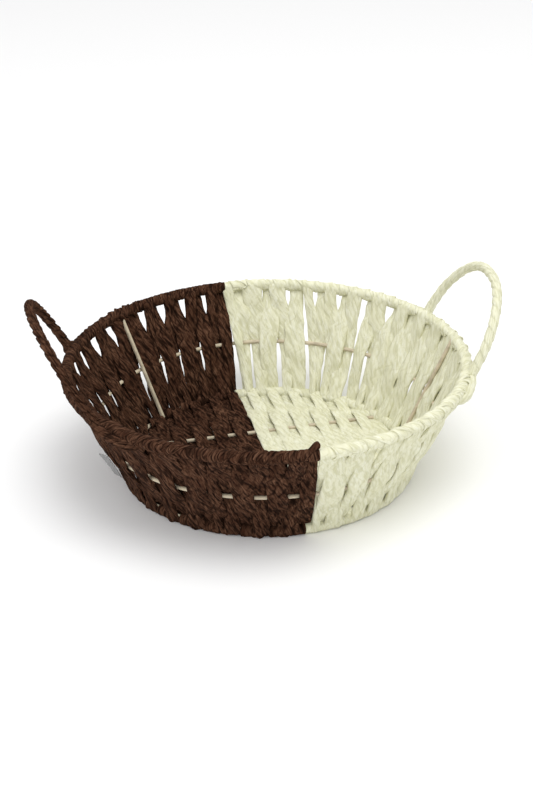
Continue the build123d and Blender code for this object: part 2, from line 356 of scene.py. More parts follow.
def rope_bands(rng, centre, normal, half_width, half_thickness, depth, lead, columns=32, closed=False,
               lump=0.35, tilt=0.12, bluntness=0.65):
    """Rope as flat oval bands carried along paths. Returns (points, uv, crest), all in millimetres.

    centre and normal are (bands, rows, 3). The section at each row is an oval: half the width times a
    cosine across, half the thickness times a sine along the normal, with the columns bunched on the flat
    sides. A lower bluntness makes its edges thicker. Pleats lower the surface by up to depth, soft lumps
    raise or lower it, and tilt rolls it a little about its line.
    """
    count, rows = centre.shape[:2]
    if closed:
        tangent = unit(np.roll(centre, -1, 1) - np.roll(centre, 1, 1))
        steps = np.linalg.norm(np.roll(centre, -1, 1) - centre, axis=-1)
        length = np.concatenate([np.zeros((count, 1)), np.cumsum(steps, 1)], 1)
        along = length[:, :rows]
    else:
        tangent = unit(np.gradient(centre, axis=1))
        length = along = lengths_along(centre)
    normal = square_to(normal, tangent)
    across = np.cross(normal, tangent)

    share = np.arange(columns) / columns
    theta = 2 * math.pi * share + 0.25 * np.sin(4 * math.pi * share)
    cosine, sine = np.cos(theta), np.sin(theta)
    side = np.sign(cosine) * np.abs(cosine) ** 0.9
    lift = np.sign(sine) * np.abs(sine) ** bluntness
    width = half_width[:, :, None]
    thick = half_thickness[:, :, None]
    place = along[:, :, None]
    pace = place
    if closed:
        # Whole numbers of waves round a closed loop keep its ends together.
        whole = length[:, -1][:, None, None]
        pace = whole * (1 - np.cos(2 * math.pi * place / whole)) / math.pi
    # The crest value also sets where the paper is painted with crease shade and highlight.
    crest = pleats(rng, count, share[None, None, :], pace, lead)
    wave = lumps(rng, count, side[None, None, :] * width, pace, 17.0)
    fade = np.clip(np.minimum(width, thick) / 1.0, 0.0, 1.0)
    # The band also rolls a little, so that one edge lifts while the other sinks.
    roll = tilt * lumps(rng, count, 0.0 * share[None, None, :], pace, 45.0, 3)
    relief = lump * wave - depth * (1 - crest)
    outward = thick * lift + fade * (0.3 * depth + np.sign(lift) * np.abs(lift) * relief)
    sideways = width * side * (1 + 0.05 * wave) - fade * side * 0.5 * depth * (1 - crest)
    up = outward + roll * sideways * np.ones_like(outward)
    points = (
        centre[:, :, None, :]
        + across[:, :, None, :] * sideways[..., None]
        + normal[:, :, None, :] * up[..., None]
    )
    perimeter = 2 * (half_width + half_thickness)
    turn = np.arange(columns + 1) / columns
    uv_rows = rows + 1 if closed else rows
    uv = np.empty((count, uv_rows, columns + 1, 2))
    uv[..., 0] = turn[None, None, :] * np.median(perimeter, axis=1)[:, None, None] * MM
    uv[..., 1] = length[:, :uv_rows, None] * MM
    uv += rng.uniform(0, 3.0, (count, 1, 1, 2))
    return points, uv, crest


def band_object(name, points, uv, crest, closed=False):
    """One mesh of closed tubes from (bands, rows, columns, 3) points in millimetres.

    Neighbouring rows and columns make quads that face outwards. Open bands end in a fan of triangles to
    the middle of their first and last rows, and closed ones join their last row to their first.
    """
    count, rows, columns = points.shape[:3]
    # Rope that meets the floor is pressed flat on it.
    points[..., 2] = np.maximum(points[..., 2], 0.0)
    index = np.arange(count * rows * columns).reshape(count, rows, columns)
    right = np.roll(index, -1, 2)
    if closed:
        above, above_right = np.roll(index, -1, 1), np.roll(right, -1, 1)
        quads = np.stack([index, right, above_right, above], -1)
    else:
        quads = np.stack([index[:, :-1], right[:, :-1], right[:, 1:], index[:, 1:]], -1)
    uv_low, uv_high = uv[:, :-1], uv[:, 1:]
    quad_uv = np.stack([uv_low[:, :, :-1], uv_low[:, :, 1:], uv_high[:, :, 1:], uv_high[:, :, :-1]], -2)
    vertices = points.reshape(-1, 3)
    crests = crest.reshape(-1)
    loops, loop_uv = quads.reshape(-1), quad_uv.reshape(-1, 2)
    starts = np.arange(quads.size // 4) * 4
    if not closed:
        ends = np.concatenate([points[:, 0].mean(1), points[:, -1].mean(1)])
        poles = len(vertices) + np.arange(2 * count)
        first, last = poles[:count, None], poles[count:, None]
        low_fan = np.stack([right[:, 0], index[:, 0], np.broadcast_to(first, (count, columns))], -1)
        high_fan = np.stack([index[:, -1], right[:, -1], np.broadcast_to(last, (count, columns))], -1)
        fans = np.concatenate([low_fan.reshape(-1), high_fan.reshape(-1)])
        fan_uv = np.concatenate([np.repeat(uv[:, row, :-1].reshape(-1, 2), 3, axis=0) for row in (0, -1)])
        starts = np.concatenate([starts, len(loops) + np.arange(len(fans) // 3) * 3])
        loops, loop_uv = np.concatenate([loops, fans]), np.concatenate([loop_uv, fan_uv])
        vertices = np.concatenate([vertices, ends])
        crests = np.concatenate([crests, np.full(2 * count, 0.5)])
    return mesh_object(name, vertices * MM, loops, starts, loop_uv, crests)


def mesh_object(name, vertices, loops, starts, loop_uv=None, crests=None):
    """A smooth-shaded mesh object at the origin from plain arrays, in metres."""
    mesh = bpy.data.meshes.new(name)
    mesh.vertices.add(len(vertices))
    mesh.vertices.foreach_set("co", np.ascontiguousarray(vertices, np.float32).ravel())
    mesh.loops.add(len(loops))
    mesh.loops.foreach_set("vertex_index", loops.astype(np.int32))
    mesh.polygons.add(len(starts))
    mesh.polygons.foreach_set("loop_start", starts.astype(np.int32))
    if loop_uv is not None:
        layer = mesh.uv_layers.new(name="rope_uv")
        layer.uv.foreach_set("vector", loop_uv.astype(np.float32).ravel())
    if crests is not None:
        attribute = mesh.attributes.new("crest", "FLOAT", "POINT")
        attribute.data.foreach_set("value", crests.astype(np.float32))
    mesh.update(calc_edges=True)
    mesh.polygons.foreach_set("use_smooth", np.ones(len(starts), bool))
    mesh.validate()
    thing = bpy.data.objects.new(name, mesh)
    bpy.context.scene.collection.objects.link(thing)
    return thing


def finish_piece(piece, material, slot, *nodes):
    """Gives a piece its material and body and hides the nodes that it stands for; its record slot is not
    used.
    """
    piece.data.materials.append(material)
    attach(piece, "root")
    if nodes:
        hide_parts(*nodes)


# ---------------------------------------------------------------- the turns of the wall


def turn_rows(half):
    """The turns of one half as an array with the eight columns of BROWN_TURNS."""
    if half == "brown":
        return np.array(BROWN_TURNS)
    step = (CREAM_EVEN_END - CREAM_EVEN_START) / CREAM_EVEN_TURNS
    low = CREAM_EVEN_START + step * np.arange(CREAM_EVEN_TURNS)
    none = 0.0 * low
    crack = np.where(np.arange(CREAM_EVEN_TURNS) == CREAM_CRACK_TURN, CREAM_CRACK_WIDTH, 0.0)
    gap_rim, gap_base = low + 0.54 * step, low + 0.58 * step
    even = np.stack([low - 0.4, low + 0.4, crack, crack, gap_rim, gap_base, none, none], -1)
    return np.concatenate([np.array(CREAM_TURNS), even])


def half_end(half):
    """Where the last pass of a half stops, in degrees at the rim and at the base."""
    return (270.0, 272.9) if half == "brown" else (270.0, 267.2)


def edge_lines(half, up_slope, overlap):
    """The edges of every pass of a half, in degrees, at each height up the slope.

    Both the slits and the gaps lie on straight lines from the rim to the base. One that is open only at
    the base closes to a lap two thirds of the way up, and one that is open only at the rim closes a third
    of the way down. Returns (start, gap start, gap end, end).
    """
    rows = turn_rows(half)
    rise = up_slope / SLOPE_LENGTH
    radius = BASE_RADIUS + up_slope * SLOPE_SIN
    per_degree = math.pi / 180 * radius
    lines = []
    for first in (0, 4):
        rim_angle, base_angle, at_rim, at_base = (rows[:, [column]] for column in range(first, first + 4))
        angle = base_angle + (rim_angle - base_angle) * rise
        both = (at_rim > 0) & (at_base > 0)
        toward_rim, toward_base = smooth_step((rise - 0.64) / 0.28), smooth_step((0.72 - rise) / 0.36)
        one_end = np.where(at_rim > 0, toward_rim, 0.0) + np.where(at_base > 0, toward_base, 0.0)
        width = np.where(both, 1.0, one_end)
        full = np.where(both, at_base + (at_rim - at_base) * rise, at_rim + at_base)
        lines.append((angle, -overlap + (full - EDGE_ROUND + overlap) * width))
    (slit_angle, slit), (gap_angle, gap) = lines
    last_rim, last_base = half_end(half)
    last = last_base + (last_rim - last_base) * rise
    if half == "cream":
        slit[0] = np.maximum(slit[0], 0.0)
    ends = np.concatenate([slit_angle[1:] - slit[1:] / 2 / per_degree, last[None, :]])
    starts = slit_angle + slit / 2 / per_degree
    return starts, gap_angle - gap / 2 / per_degree, gap_angle + gap / 2 / per_degree, ends


def mirrored(half, angles):
    """Brown angles run from the back round the left, and cream ones are their mirror image."""
    return angles if half == "brown" else 180.0 - angles


def weave(up_slope, side):
    """Offset of a woven pass, as a share of the hook radius.

    It is side at the mid ring and minus side at the rim and base rings, with straight runs between them
    and a small round bend at the mid ring.
    """
    bend = 5.0
    below, above = MID_SLOPE, SLOPE_LENGTH - MID_SLOPE
    away = up_slope - MID_SLOPE
    reach = np.where(away < 0, below, above)
    rounded = (np.sqrt(away ** 2 + bend ** 2) - bend) / (np.sqrt(reach ** 2 + bend ** 2) - bend)
    return side * (1.0 - 2.0 * np.clip(rounded, 0.0, 1.0))


def pass_bands(rng, settings, half, layer):
    """Centre, normal and half sizes of all passes of one half on one side of the mid ring.

    The passes outside the mid ring start inside the base ring, climb the wall, go over the rim from its
    inner side and end against the top of the next pass. The passes inside the mid ring start under the
    base ring, come up outside it and end below the rim. Rows are steps along that path in the plane of the
    slope: straight stretches of the weave and arcs of the hook radius round each ring.
    """
    hook = settings.hook_radius
    outside = layer == "outside"
    side = 1.0 if outside else -1.0
    arc = np.linspace(0.0, math.pi, ARC_ROWS)
    wall_low, wall_high = (-0.5, SLOPE_LENGTH) if outside else (0.0, SLOPE_LENGTH - 1.5)
    climb = np.linspace(wall_low, wall_high, WALL_ROWS)
    # The rope is soft: it presses a little way into the mid ring.
    pressed = 0.10 if half == "brown" else 0.30
    shift = weave(climb, side) * hook * (1 - pressed * np.exp(-(((climb - MID_SLOPE) / 30.0) ** 2)))
    if outside:
        tail = np.linspace(0.0, 1.0, TAIL_ROWS)[1:]
        tight = hook * (1 - 0.2 * np.sin(arc[1:]))
        slope = np.concatenate([climb, SLOPE_LENGTH + tight * np.sin(arc[1:]), SLOPE_LENGTH - 11.0 * tail])
        offset = np.concatenate([shift, -tight * np.cos(arc[1:]), hook + 0.5 - 1.9 * tail ** 2])
        over = np.concatenate([np.zeros(WALL_ROWS), arc[1:] / math.pi, np.ones(len(tail))])
        facing = np.concatenate([np.full(WALL_ROWS, math.pi), math.pi - arc[1:], np.zeros(len(tail))])
    else:
        slope = np.concatenate([-hook * np.sin(arc[:-1]), climb])
        offset = np.concatenate([-hook * np.cos(arc[:-1]), shift])
        over = np.concatenate([1.0 - arc[:-1] / math.pi, np.zeros(WALL_ROWS)])
        facing = np.concatenate([math.pi + arc[:-1], np.full(WALL_ROWS, 2 * math.pi)])
    height = np.clip(slope, 0.0, SLOPE_LENGTH)
    starts, gap_starts, gap_ends, ends = edge_lines(half, height, getattr(settings, f"{half}_overlap"))
    low, high = (starts, gap_starts) if outside else (gap_ends, ends)
    count = len(low)
    if outside:
        # Over the rim: on to the pass that ends at this turn's slit.
        other_low = np.concatenate([gap_ends[:1] - 6.0, gap_ends[:-1]])
        other_high = np.concatenate([starts[:1], ends[:-1]])
        if half == "brown":
            other_low[0], other_high[0] = BROWN_FIRST_PASS
        else:
            other_low[0], other_high[0] = low[0], high[0]
    else:
        # Under the base ring: from the pass on the other side of this turn's gap.
        other_low, other_high = starts, gap_starts
    if half == "brown" and not outside:
        first_low = np.full((1, len(slope)), BROWN_FIRST_PASS[0])
        first_high = np.full((1, len(slope)), BROWN_FIRST_PASS[1] + 0.2)
        low, high = np.concatenate([first_low, low]), np.concatenate([first_high, high])
        other_low = np.concatenate([first_low, other_low])
        other_high = np.concatenate([first_high, other_high])
        # The last turn has no inside pass: its outside one is the last of the half.
        low, high, other_low, other_high = low[:-1], high[:-1], other_low[:-1], other_high[:-1]
        count = len(low)
    if half == "brown" and outside:
        high[-1] = ends[-1]
    swap = smooth_step(over)[None, :]
    middle = (low + high) / 2 * (1 - swap) + (other_low + other_high) / 2 * swap
    degrees = (high - low) * (1 - swap) + (other_high - other_low) * swap
    radius = BASE_RADIUS + slope * SLOPE_SIN
    half_width = np.maximum(degrees / 2 * math.pi / 180 * radius[None, :], NARROWEST)
    # Over a ring the rope bunches up.
    bunched = np.minimum(half_width, BUNCHED)
    half_width = half_width + (bunched - half_width) * smooth_step(over * 4.0)[None, :]
    lift = rng.uniform(-0.15, 0.25, (count, 1))
    offsets = np.broadcast_to(offset, (count, len(offset))) + lift * (over == 0)
    if half == "cream":
        crossed = [CREAM_SWAPPED_TURN] if outside else [CREAM_SWAPPED_TURN, CREAM_LOOSE_TURN]
        near_mid = np.exp(-(((slope - MID_SLOPE) / 24.0) ** 2)) * (over == 0)
        flip = near_mid[None, :] * np.isin(np.arange(count), crossed)[:, None]
        offsets = offsets * (1 - flip) - flip * offsets
    centre = wall_point(mirrored(half, middle), slope[None, :], offsets)
    radial = radial_of(mirrored(half, middle))
    outward = radial * SLOPE_COS - np.array([0.0, 0.0, SLOPE_SIN])
    upward = radial * SLOPE_SIN + np.array([0.0, 0.0, SLOPE_COS])
    sign = np.where(over > 0, np.cos(facing), -side)
    tip = np.sin(facing) * (over > 0)
    normal = outward * sign[None, :, None] + upward * tip[None, :, None]
    along = lengths_along(centre)
    half_width = half_width * (1 + 0.05 * wander(rng, count, along, 60.0))
    thick = settings.wall_thickness + (0.0 if half == "brown" else 0.25)
    half_thickness = thick * (1 + 0.15 * wander(rng, count, along, 50.0))
    half_thickness = half_thickness * (1 - 0.4 * smooth_step(over * 4.0)[None, :])
    # Both ends draw in to a small round tip.
    from_tip = np.minimum(along / TIP_LENGTH, (along[:, -1:] - along) / TIP_LENGTH)
    taper = round_tip(np.clip(from_tip, 0.0, 1.0), 0.02)
    return centre, normal, half_width * (0.5 + 0.5 * taper), half_thickness * taper


def loops_round(rng, settings, half, ring):
    """Closed loops of rope round the rim or the base ring, side by side over the whole of one half.

    Each is a circle round the ring's wire. On the outer side it covers one pass, and on the inner side it
    lies part of the way on to the next one, so that its place along the ring sways with the cosine of the
    angle round the wire and it crosses the top on a slant.
    """
    rows = turn_rows(half)
    rim = ring == "rim"
    slit, gap = (rows[:, 0], rows[:, 4]) if rim else (rows[:, 1], rows[:, 5])
    edges = np.stack([slit, gap], -1).ravel()
    first, last = (90.0, 270.0) if rim else (89.4, 270.0)
    edges = np.concatenate([[first], edges[(edges > first + 1.0) & (edges < last - 1.0)], [last]])
    low, high = edges[:-1], edges[1:]
    radius, height = (RIM_RADIUS, RIM_HEIGHT) if rim else (BASE_RADIUS, BASE_HEIGHT)
    collar = np.arange(len(low)) % 2 == (1 if half == "brown" else 0)
    outer = np.stack([low, high], -1)
    slant = 0.6 if half == "brown" else 0.3
    inner = outer + slant * (np.concatenate([outer[1:], outer[-1:]]) - outer)
    if not rim and half == "brown":
        # The base ring shows between the brown loops that go round it.
        outer, inner, collar = outer[collar], inner[collar], collar[collar]
    first_outer = np.array([[outer[0, 0], outer[0, 0] + 1.5]])
    outer, inner = np.concatenate([first_outer, outer]), np.concatenate([outer[:1], inner])
    collar = np.concatenate([[False], collar])
    strands = 2 if half == "brown" and rim else 1
    part = (np.arange(strands)[:, None] + np.array([0.0, 1.0])) / strands
    outer, inner = (
        (ends[:, :1, None] + (ends[:, 1:] - ends[:, :1])[:, :, None] * part[None]).reshape(-1, 2)
        for ends in (outer, inner))
    collar = np.repeat(collar, strands)
    count = len(inner)
    phi = np.linspace(0.0, 2 * math.pi, 40, endpoint=False)[None, :] - 0.6 * math.pi
    toward = (1 + np.cos(phi)) / 2
    angle = outer.mean(1)[:, None] * toward + inner.mean(1)[:, None] * (1 - toward)
    width = np.diff(outer, axis=1) * toward + np.diff(inner, axis=1) * (1 - toward)
    width = width * math.pi / 180 * radius
    sway = rng.uniform(-0.25, 0.25, (count, 1))
    lowest, highest = (first + 0.9, last - 0.9)
    angle = mirrored(half, np.clip(angle + sway, lowest, highest))
    proud = 0.25 if half == "brown" else 0.45
    snug = settings.hook_radius + 0.3 + rng.uniform(-0.05, 0.15, (count, 1))
    reach = snug + proud * (collar[:, None] - 0.5) * (1 - toward)
    radial = radial_of(angle)
    normal = radial * np.cos(phi)[..., None] + np.array([0.0, 0.0, 1.0]) * np.sin(phi)[..., None]
    ring_centre = radial * radius + np.array([0.0, 0.0, height])
    centre = ring_centre + normal * reach[..., None]
    half_width = np.clip(width * 0.58 + (0.4 if half == "brown" else 0.9), 2.2, 7.5)
    half_thickness = np.full_like(half_width, settings.half_thickness * (0.85 if half == "brown" else 0.75))
    if half == "cream":
        centre, normal, half_width, half_thickness = (
            v[:, ::-1] for v in (centre, normal, half_width, half_thickness))
    return centre, normal, half_width, half_thickness


def pleat_depth(settings, half):
    """Depth of the pleats of one colour."""
    return settings.brown_pleats if half == "brown" else settings.cream_pleats


# ---------------------------------------------------------------- materials


def new_group(name, inputs, outputs):
    """A shader node group with typed sockets. inputs are (name, type, default) and outputs (name, type)."""
    group = bpy.data.node_groups.new(name, "ShaderNodeTree")
    for label, kind, value in inputs:
        socket = group.interface.new_socket(name=label, in_out="INPUT", socket_type=kind)
        socket.default_value = value
    for label, kind in outputs:
        group.interface.new_socket(name=label, in_out="OUTPUT", socket_type=kind)
    return group, group.nodes.new("NodeGroupInput"), group.nodes.new("NodeGroupOutput")


def math_node(tree, operation, first, second=None, clamp=False):
    """A Math node whose inputs are sockets or plain numbers. Returns its output."""
    node = tree.nodes.new("ShaderNodeMath")
    node.operation = operation
    node.use_clamp = clamp
    for place, value in enumerate((first, second)):
        if value is None:
            continue
        if isinstance(value, (int, float)):
            node.inputs[place].default_value = value
        else:
            tree.links.new(value, node.inputs[place])
    return node.outputs[0]


def mix_colour(tree, factor, first, second, blend="MIX"):
    """A colour Mix node whose inputs are sockets, numbers or colours. Returns its output."""
    node = tree.nodes.new("ShaderNodeMix")
    node.data_type = "RGBA"
    node.blend_type = blend
    for place, value in ((0, factor), (6, first), (7, second)):
        if isinstance(value, bpy.types.NodeSocket):
            tree.links.new(value, node.inputs[place])
        else:
            node.inputs[place].default_value = value
    return node.outputs[2]


def noise_node(tree, vector, scale, detail, roughness=0.55):
    """A Noise texture. Returns its value output."""
    node = tree.nodes.new("ShaderNodeTexNoise")
    node.inputs["Scale"].default_value = scale
    node.inputs["Detail"].default_value = detail
    node.inputs["Roughness"].default_value = roughness
    tree.links.new(vector, node.inputs["Vector"])
    return node.outputs[0]


def ramp_node(tree, value, low, high):
    """A Map Range that takes low to 0 and high to 1, held between them."""
    node = tree.nodes.new("ShaderNodeMapRange")
    node.interpolation_type = "SMOOTHSTEP"
    node.inputs["From Min"].default_value = low
    node.inputs["From Max"].default_value = high
    tree.links.new(value, node.inputs["Value"])
    return node.outputs[0]


def paper_fibre_group():
    """Fine creases of twisted paper: noise stretched along lines that wind round the rope.

    The vector is the piece's own map, in metres: round the section and along the rope. It is turned by the
    twist and squeezed along it, once coarse for creases and once fine for fibres.
    """
    name = "paper_fibre"
    if name in bpy.data.node_groups:
        return bpy.data.node_groups[name]
    group, take, give = new_group(
        name,
        [("Vector", "NodeSocketVector", (0, 0, 0)), ("Twist", "NodeSocketFloat", 0.35)],
        [("Creases", "NodeSocketFloat"), ("Fibres", "NodeSocketFloat"), ("Blotches", "NodeSocketFloat")],
    )
    links = group.links
    turn = group.nodes.new("ShaderNodeVectorRotate")
    turn.rotation_type = "Z_AXIS"
    links.new(take.outputs["Vector"], turn.inputs["Vector"])
    links.new(take.outputs["Twist"], turn.inputs["Angle"])
    results = {}
    stretches = {
        "Creases": (760.0, 88.0, 1.0), "Fibres": (1900.0, 190.0, 1.0), "Blotches": (120.0, 40.0, 1.0)}
    for label, stretch in stretches.items():
        scale = group.nodes.new("ShaderNodeVectorMath")
        scale.operation = "MULTIPLY"
        scale.inputs[1].default_value = stretch
        links.new(turn.outputs[0], scale.inputs[0])
        results[label] = noise_node(group, scale.outputs[0], 1.0, 2.0)
    links.new(ramp_node(group, results["Creases"], 0.38, 0.56), give.inputs["Creases"])
    links.new(results["Fibres"], give.inputs["Fibres"])
    links.new(ramp_node(group, results["Blotches"], 0.3, 0.7), give.inputs["Blotches"])
    return group


def paper_colour_group():
    """Colour of crumpled paper: painted shade darkens its creases and painted highlight lightens its fibres
    on the crests, with slow blotches and fine fibres.
    """
    name = "paper_colour"
    if name in bpy.data.node_groups:
        return bpy.data.node_groups[name]
    group, take, give = new_group(
        name,
        [("Light", "NodeSocketColor", (1, 1, 1, 1)), ("Mid", "NodeSocketColor", (0.5, 0.5, 0.5, 1)),
         ("Dark", "NodeSocketColor", (0, 0, 0, 1)), ("Crest", "NodeSocketFloat", 0.5),
         ("Creases", "NodeSocketFloat", 0.5), ("Fibres", "NodeSocketFloat", 0.5),
         ("Blotches", "NodeSocketFloat", 0.5), ("Crease Shade", "NodeSocketFloat", 0.5)],
        [("Colour", "NodeSocketColor"), ("Height", "NodeSocketFloat")],
    )
    out = take.outputs
    crest = ramp_node(group, out["Crest"], 0.15, 0.9)
    # Painted highlight: the light colour goes on the brighter fibres, most on crests and in blotches.
    light = math_node(group, "MULTIPLY", out["Fibres"], 1.6)
    light = math_node(group, "SUBTRACT", light, 0.55, True)
    light = math_node(group, "MULTIPLY", light, math_node(group, "ADD", crest, 0.35), True)
    light = math_node(group, "MULTIPLY", light, math_node(group, "ADD", out["Blotches"], 0.6), True)
    upper = mix_colour(group, light, out["Mid"], out["Light"])
    # Painted shade: the dark colour goes in where the crest value is low and in the fine creases, scaled by
    # its strength.
    painted_crease_shade = math_node(group, "MULTIPLY", math_node(group, "ADD", crest, 0.25), math_node(
        group, "ADD", math_node(group, "MULTIPLY", out["Creases"], 0.85), 0.15))
    painted_crease_shade = math_node(group, "SUBTRACT", 1.0, painted_crease_shade, True)
    painted_crease_shade = math_node(group, "MULTIPLY", painted_crease_shade, out["Crease Shade"], True)
    group.links.new(mix_colour(group, painted_crease_shade, upper, out["Dark"]), give.inputs["Colour"])
    height = math_node(group, "ADD", out["Creases"], math_node(group, "MULTIPLY", out["Fibres"], 0.5))
    group.links.new(height, give.inputs["Height"])
    return group


def place_group(tree, group):
    """Puts a shader node group into a material's tree."""
    node = tree.nodes.new("ShaderNodeGroup")
    node.node_tree = group
    return node


def new_material(name):
    """(material, its tree, its Principled shader)."""
    material = bpy.data.materials.new(name)
    material.use_nodes = True
    return material, material.node_tree, material.node_tree.nodes["Principled BSDF"]


def bump_from(tree, shader, height, depth):
    """Feeds a height into the shader's normal through a Bump node, depth in millimetres."""
    bump = tree.nodes.new("ShaderNodeBump")
    bump.inputs["Distance"].default_value = depth * MM
    tree.links.new(height, bump.inputs["Height"])
    tree.links.new(bump.outputs[0], shader.inputs["Normal"])


def cloudy_material(name, colour, other, scale, bump_depth, least_rough, ramp=None):
    """A plain finish that drifts between two colours, with roughness and fine dents from the same noise."""
    material, tree, shader = new_material(name)
    where = tree.nodes.new("ShaderNodeTexCoord")
    clouds = noise_node(tree, where.outputs["Object"], scale, 3.0)
    share = ramp_node(tree, clouds, *ramp) if ramp else clouds
    tree.links.new(mix_colour(tree, share, colour, other), shader.inputs["Base Color"])
    rough = math_node(tree, "ADD", math_node(tree, "MULTIPLY", clouds, 0.3), least_rough)
    tree.links.new(rough, shader.inputs["Roughness"])
    bump_from(tree, shader, clouds, bump_depth)
    return material


def paper_material(name, light, mid, dark, crease_shade_strength, bump_depth, roughness, specular):
    """Twisted paper rope: colour with painted crease shade and painted highlight, and bump, from the shared
    groups, on the piece's own map.
    """
    if name in bpy.data.materials:
        return bpy.data.materials[name]
    material, tree, shader = new_material(name)
    shader.inputs["Roughness"].default_value = roughness
    shader.inputs["Specular IOR Level"].default_value = specular
    own_map = tree.nodes.new("ShaderNodeUVMap")
    own_map.uv_map = "rope_uv"
    crest = tree.nodes.new("ShaderNodeAttribute")
    crest.attribute_name = "crest"
    fibre = place_group(tree, paper_fibre_group())
    fibre.inputs["Twist"].default_value = -0.2
    colour = place_group(tree, paper_colour_group())
    for label, value in (("Light", light), ("Mid", mid), ("Dark", dark)):
        colour.inputs[label].default_value = value
    colour.inputs["Crease Shade"].default_value = crease_shade_strength
    tree.links.new(own_map.outputs[0], fibre.inputs["Vector"])
    for label in ("Creases", "Fibres", "Blotches"):
        tree.links.new(fibre.outputs[label], colour.inputs[label])
    tree.links.new(crest.outputs["Fac"], colour.inputs["Crest"])
    bump_from(tree, shader, colour.outputs["Height"], bump_depth)
    tree.links.new(colour.outputs["Colour"], shader.inputs["Base Color"])
    return material


def rope_material(context, half):
    """The paper of one half."""
    finish = context.scene.basket_finish
    # Each paper's light and dark colours are painted highlight and painted crease shade, and the number after
    # them sets the strength of that shade.
    if half == "brown":
        return paper_material(
            "brown_paper", finish.brown_highlight, finish.brown_mid, finish.brown_crease_shade, 1.0, 0.5, 0.9, 0.04)
    return paper_material(
        "cream_paper", finish.cream_highlight, finish.cream_mid, finish.cream_crease_shade, 0.32, 0.2, 0.75, 0.2)


def wire_material(context):
    """Painted steel wire: a satin coat with faint dull patches and fine dents.

    Its name differs from the record's slot, whose plain material is already in the file under that name.
    """
    colour = tuple(context.scene.basket_finish.wire)
    worn = tuple(0.72 * c for c in colour[:3]) + (1.0,)
    material = cloudy_material("satin_frame_paint", colour, worn, 160.0, 0.08, 0.3, (0.35, 0.75))
    material.node_tree.nodes["Principled BSDF"].inputs["Specular IOR Level"].default_value = 0.2
    return material


def label_material(context):
    """Grey film of a blank label, a little cloudy and creased."""
    colour = tuple(context.scene.basket_finish.label)
    pale = tuple(min(1.0, 1.35 * c) for c in colour[:3]) + (1.0,)
    return cloudy_material("dull_label_film", colour, pale, 220.0, 0.2, 0.25)


# ---------------------------------------------------------------- operators


class BASKET_OT_wire_frame(bpy.types.Operator):
    """Paint the wire frame"""

    bl_idname = "basket.wire_frame"
    bl_label = "Wire Frame"

    def execute(self, context):
        paint = wire_material(context)
        for node in WIRE_NODES:
            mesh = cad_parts[node].data
            mesh.materials.clear()
            mesh.materials.append(paint)
        return {"FINISHED"}


class BASKET_OT_wall_passes(bpy.types.Operator):
    """Weave the passes of rope between the rim and the base, outside and inside the mid ring"""

    bl_idname = "basket.wall_passes"
    bl_label = "Wall Passes"

    def execute(self, context):
        rope = context.scene.basket_rope
        for half in ("brown", "cream"):
            for number, layer in enumerate(("outside", "inside")):
                rng = np.random.default_rng(rope.seed + HALF_SEED[half] + 10 * number)
                bands = pass_bands(rng, rope, half, layer)
                depth = pleat_depth(rope, half)
                made = rope_bands(rng, *bands, depth, rope.twist_lead, columns=32)
                piece = band_object(f"{half}_passes_{layer}_mid_ring", *made)
                node = f"wall_{layer}_ring_{half}"
                finish_piece(piece, rope_material(context, half), f"{half}_rope", node)
        return {"FINISHED"}


class BASKET_OT_ring_turns(bpy.types.Operator):
    """Wind the turns of rope round the rim and the base ring"""

    bl_idname = "basket.ring_turns"
    bl_label = "Rim and Bottom Turns"

    def execute(self, context):
        rope = context.scene.basket_rope
        for half in ("brown", "cream"):
            for number, (ring, node) in enumerate((("rim", "rim_wrap"), ("bottom", "bottom_edge"))):
                rng = np.random.default_rng(rope.seed + HALF_SEED[half] + 30 + 10 * number)
                bands = loops_round(rng, rope, half, ring)
                made = rope_bands(
                    rng, *bands, 0.55 * pleat_depth(rope, half), rope.twist_lead, columns=28, closed=True,
                    lump=0.12 if half == "brown" else 0.05, tilt=0.02, bluntness=0.4)
                piece = band_object(f"{half}_{ring}_turns", *made, closed=True)
                finish_piece(piece, rope_material(context, half), f"{half}_rope", f"{node}_{half}")
        return {"FINISHED"}


class BASKET_OT_base_strands(bpy.types.Operator):
    """Weave the strands of the base over and under the base wires"""

    bl_idname = "basket.base_strands"
    bl_label = "Base Strands"

    def execute(self, context):
        rope = context.scene.basket_rope
        for half in ("brown", "cream"):
            for number, level in enumerate(("lower", "upper")):
                rng = np.random.default_rng(rope.seed + HALF_SEED[half] + 50 + 10 * number)
                bands = strand_bands(rng, rope, half, level)
                made = rope_bands(rng, *bands, pleat_depth(rope, half), rope.twist_lead, columns=28)
                piece = band_object(f"{half}_base_strands_{level}", *made)
                finish_piece(piece, rope_material(context, half), f"{half}_rope", f"base_{level}_{half}")
        return {"FINISHED"}


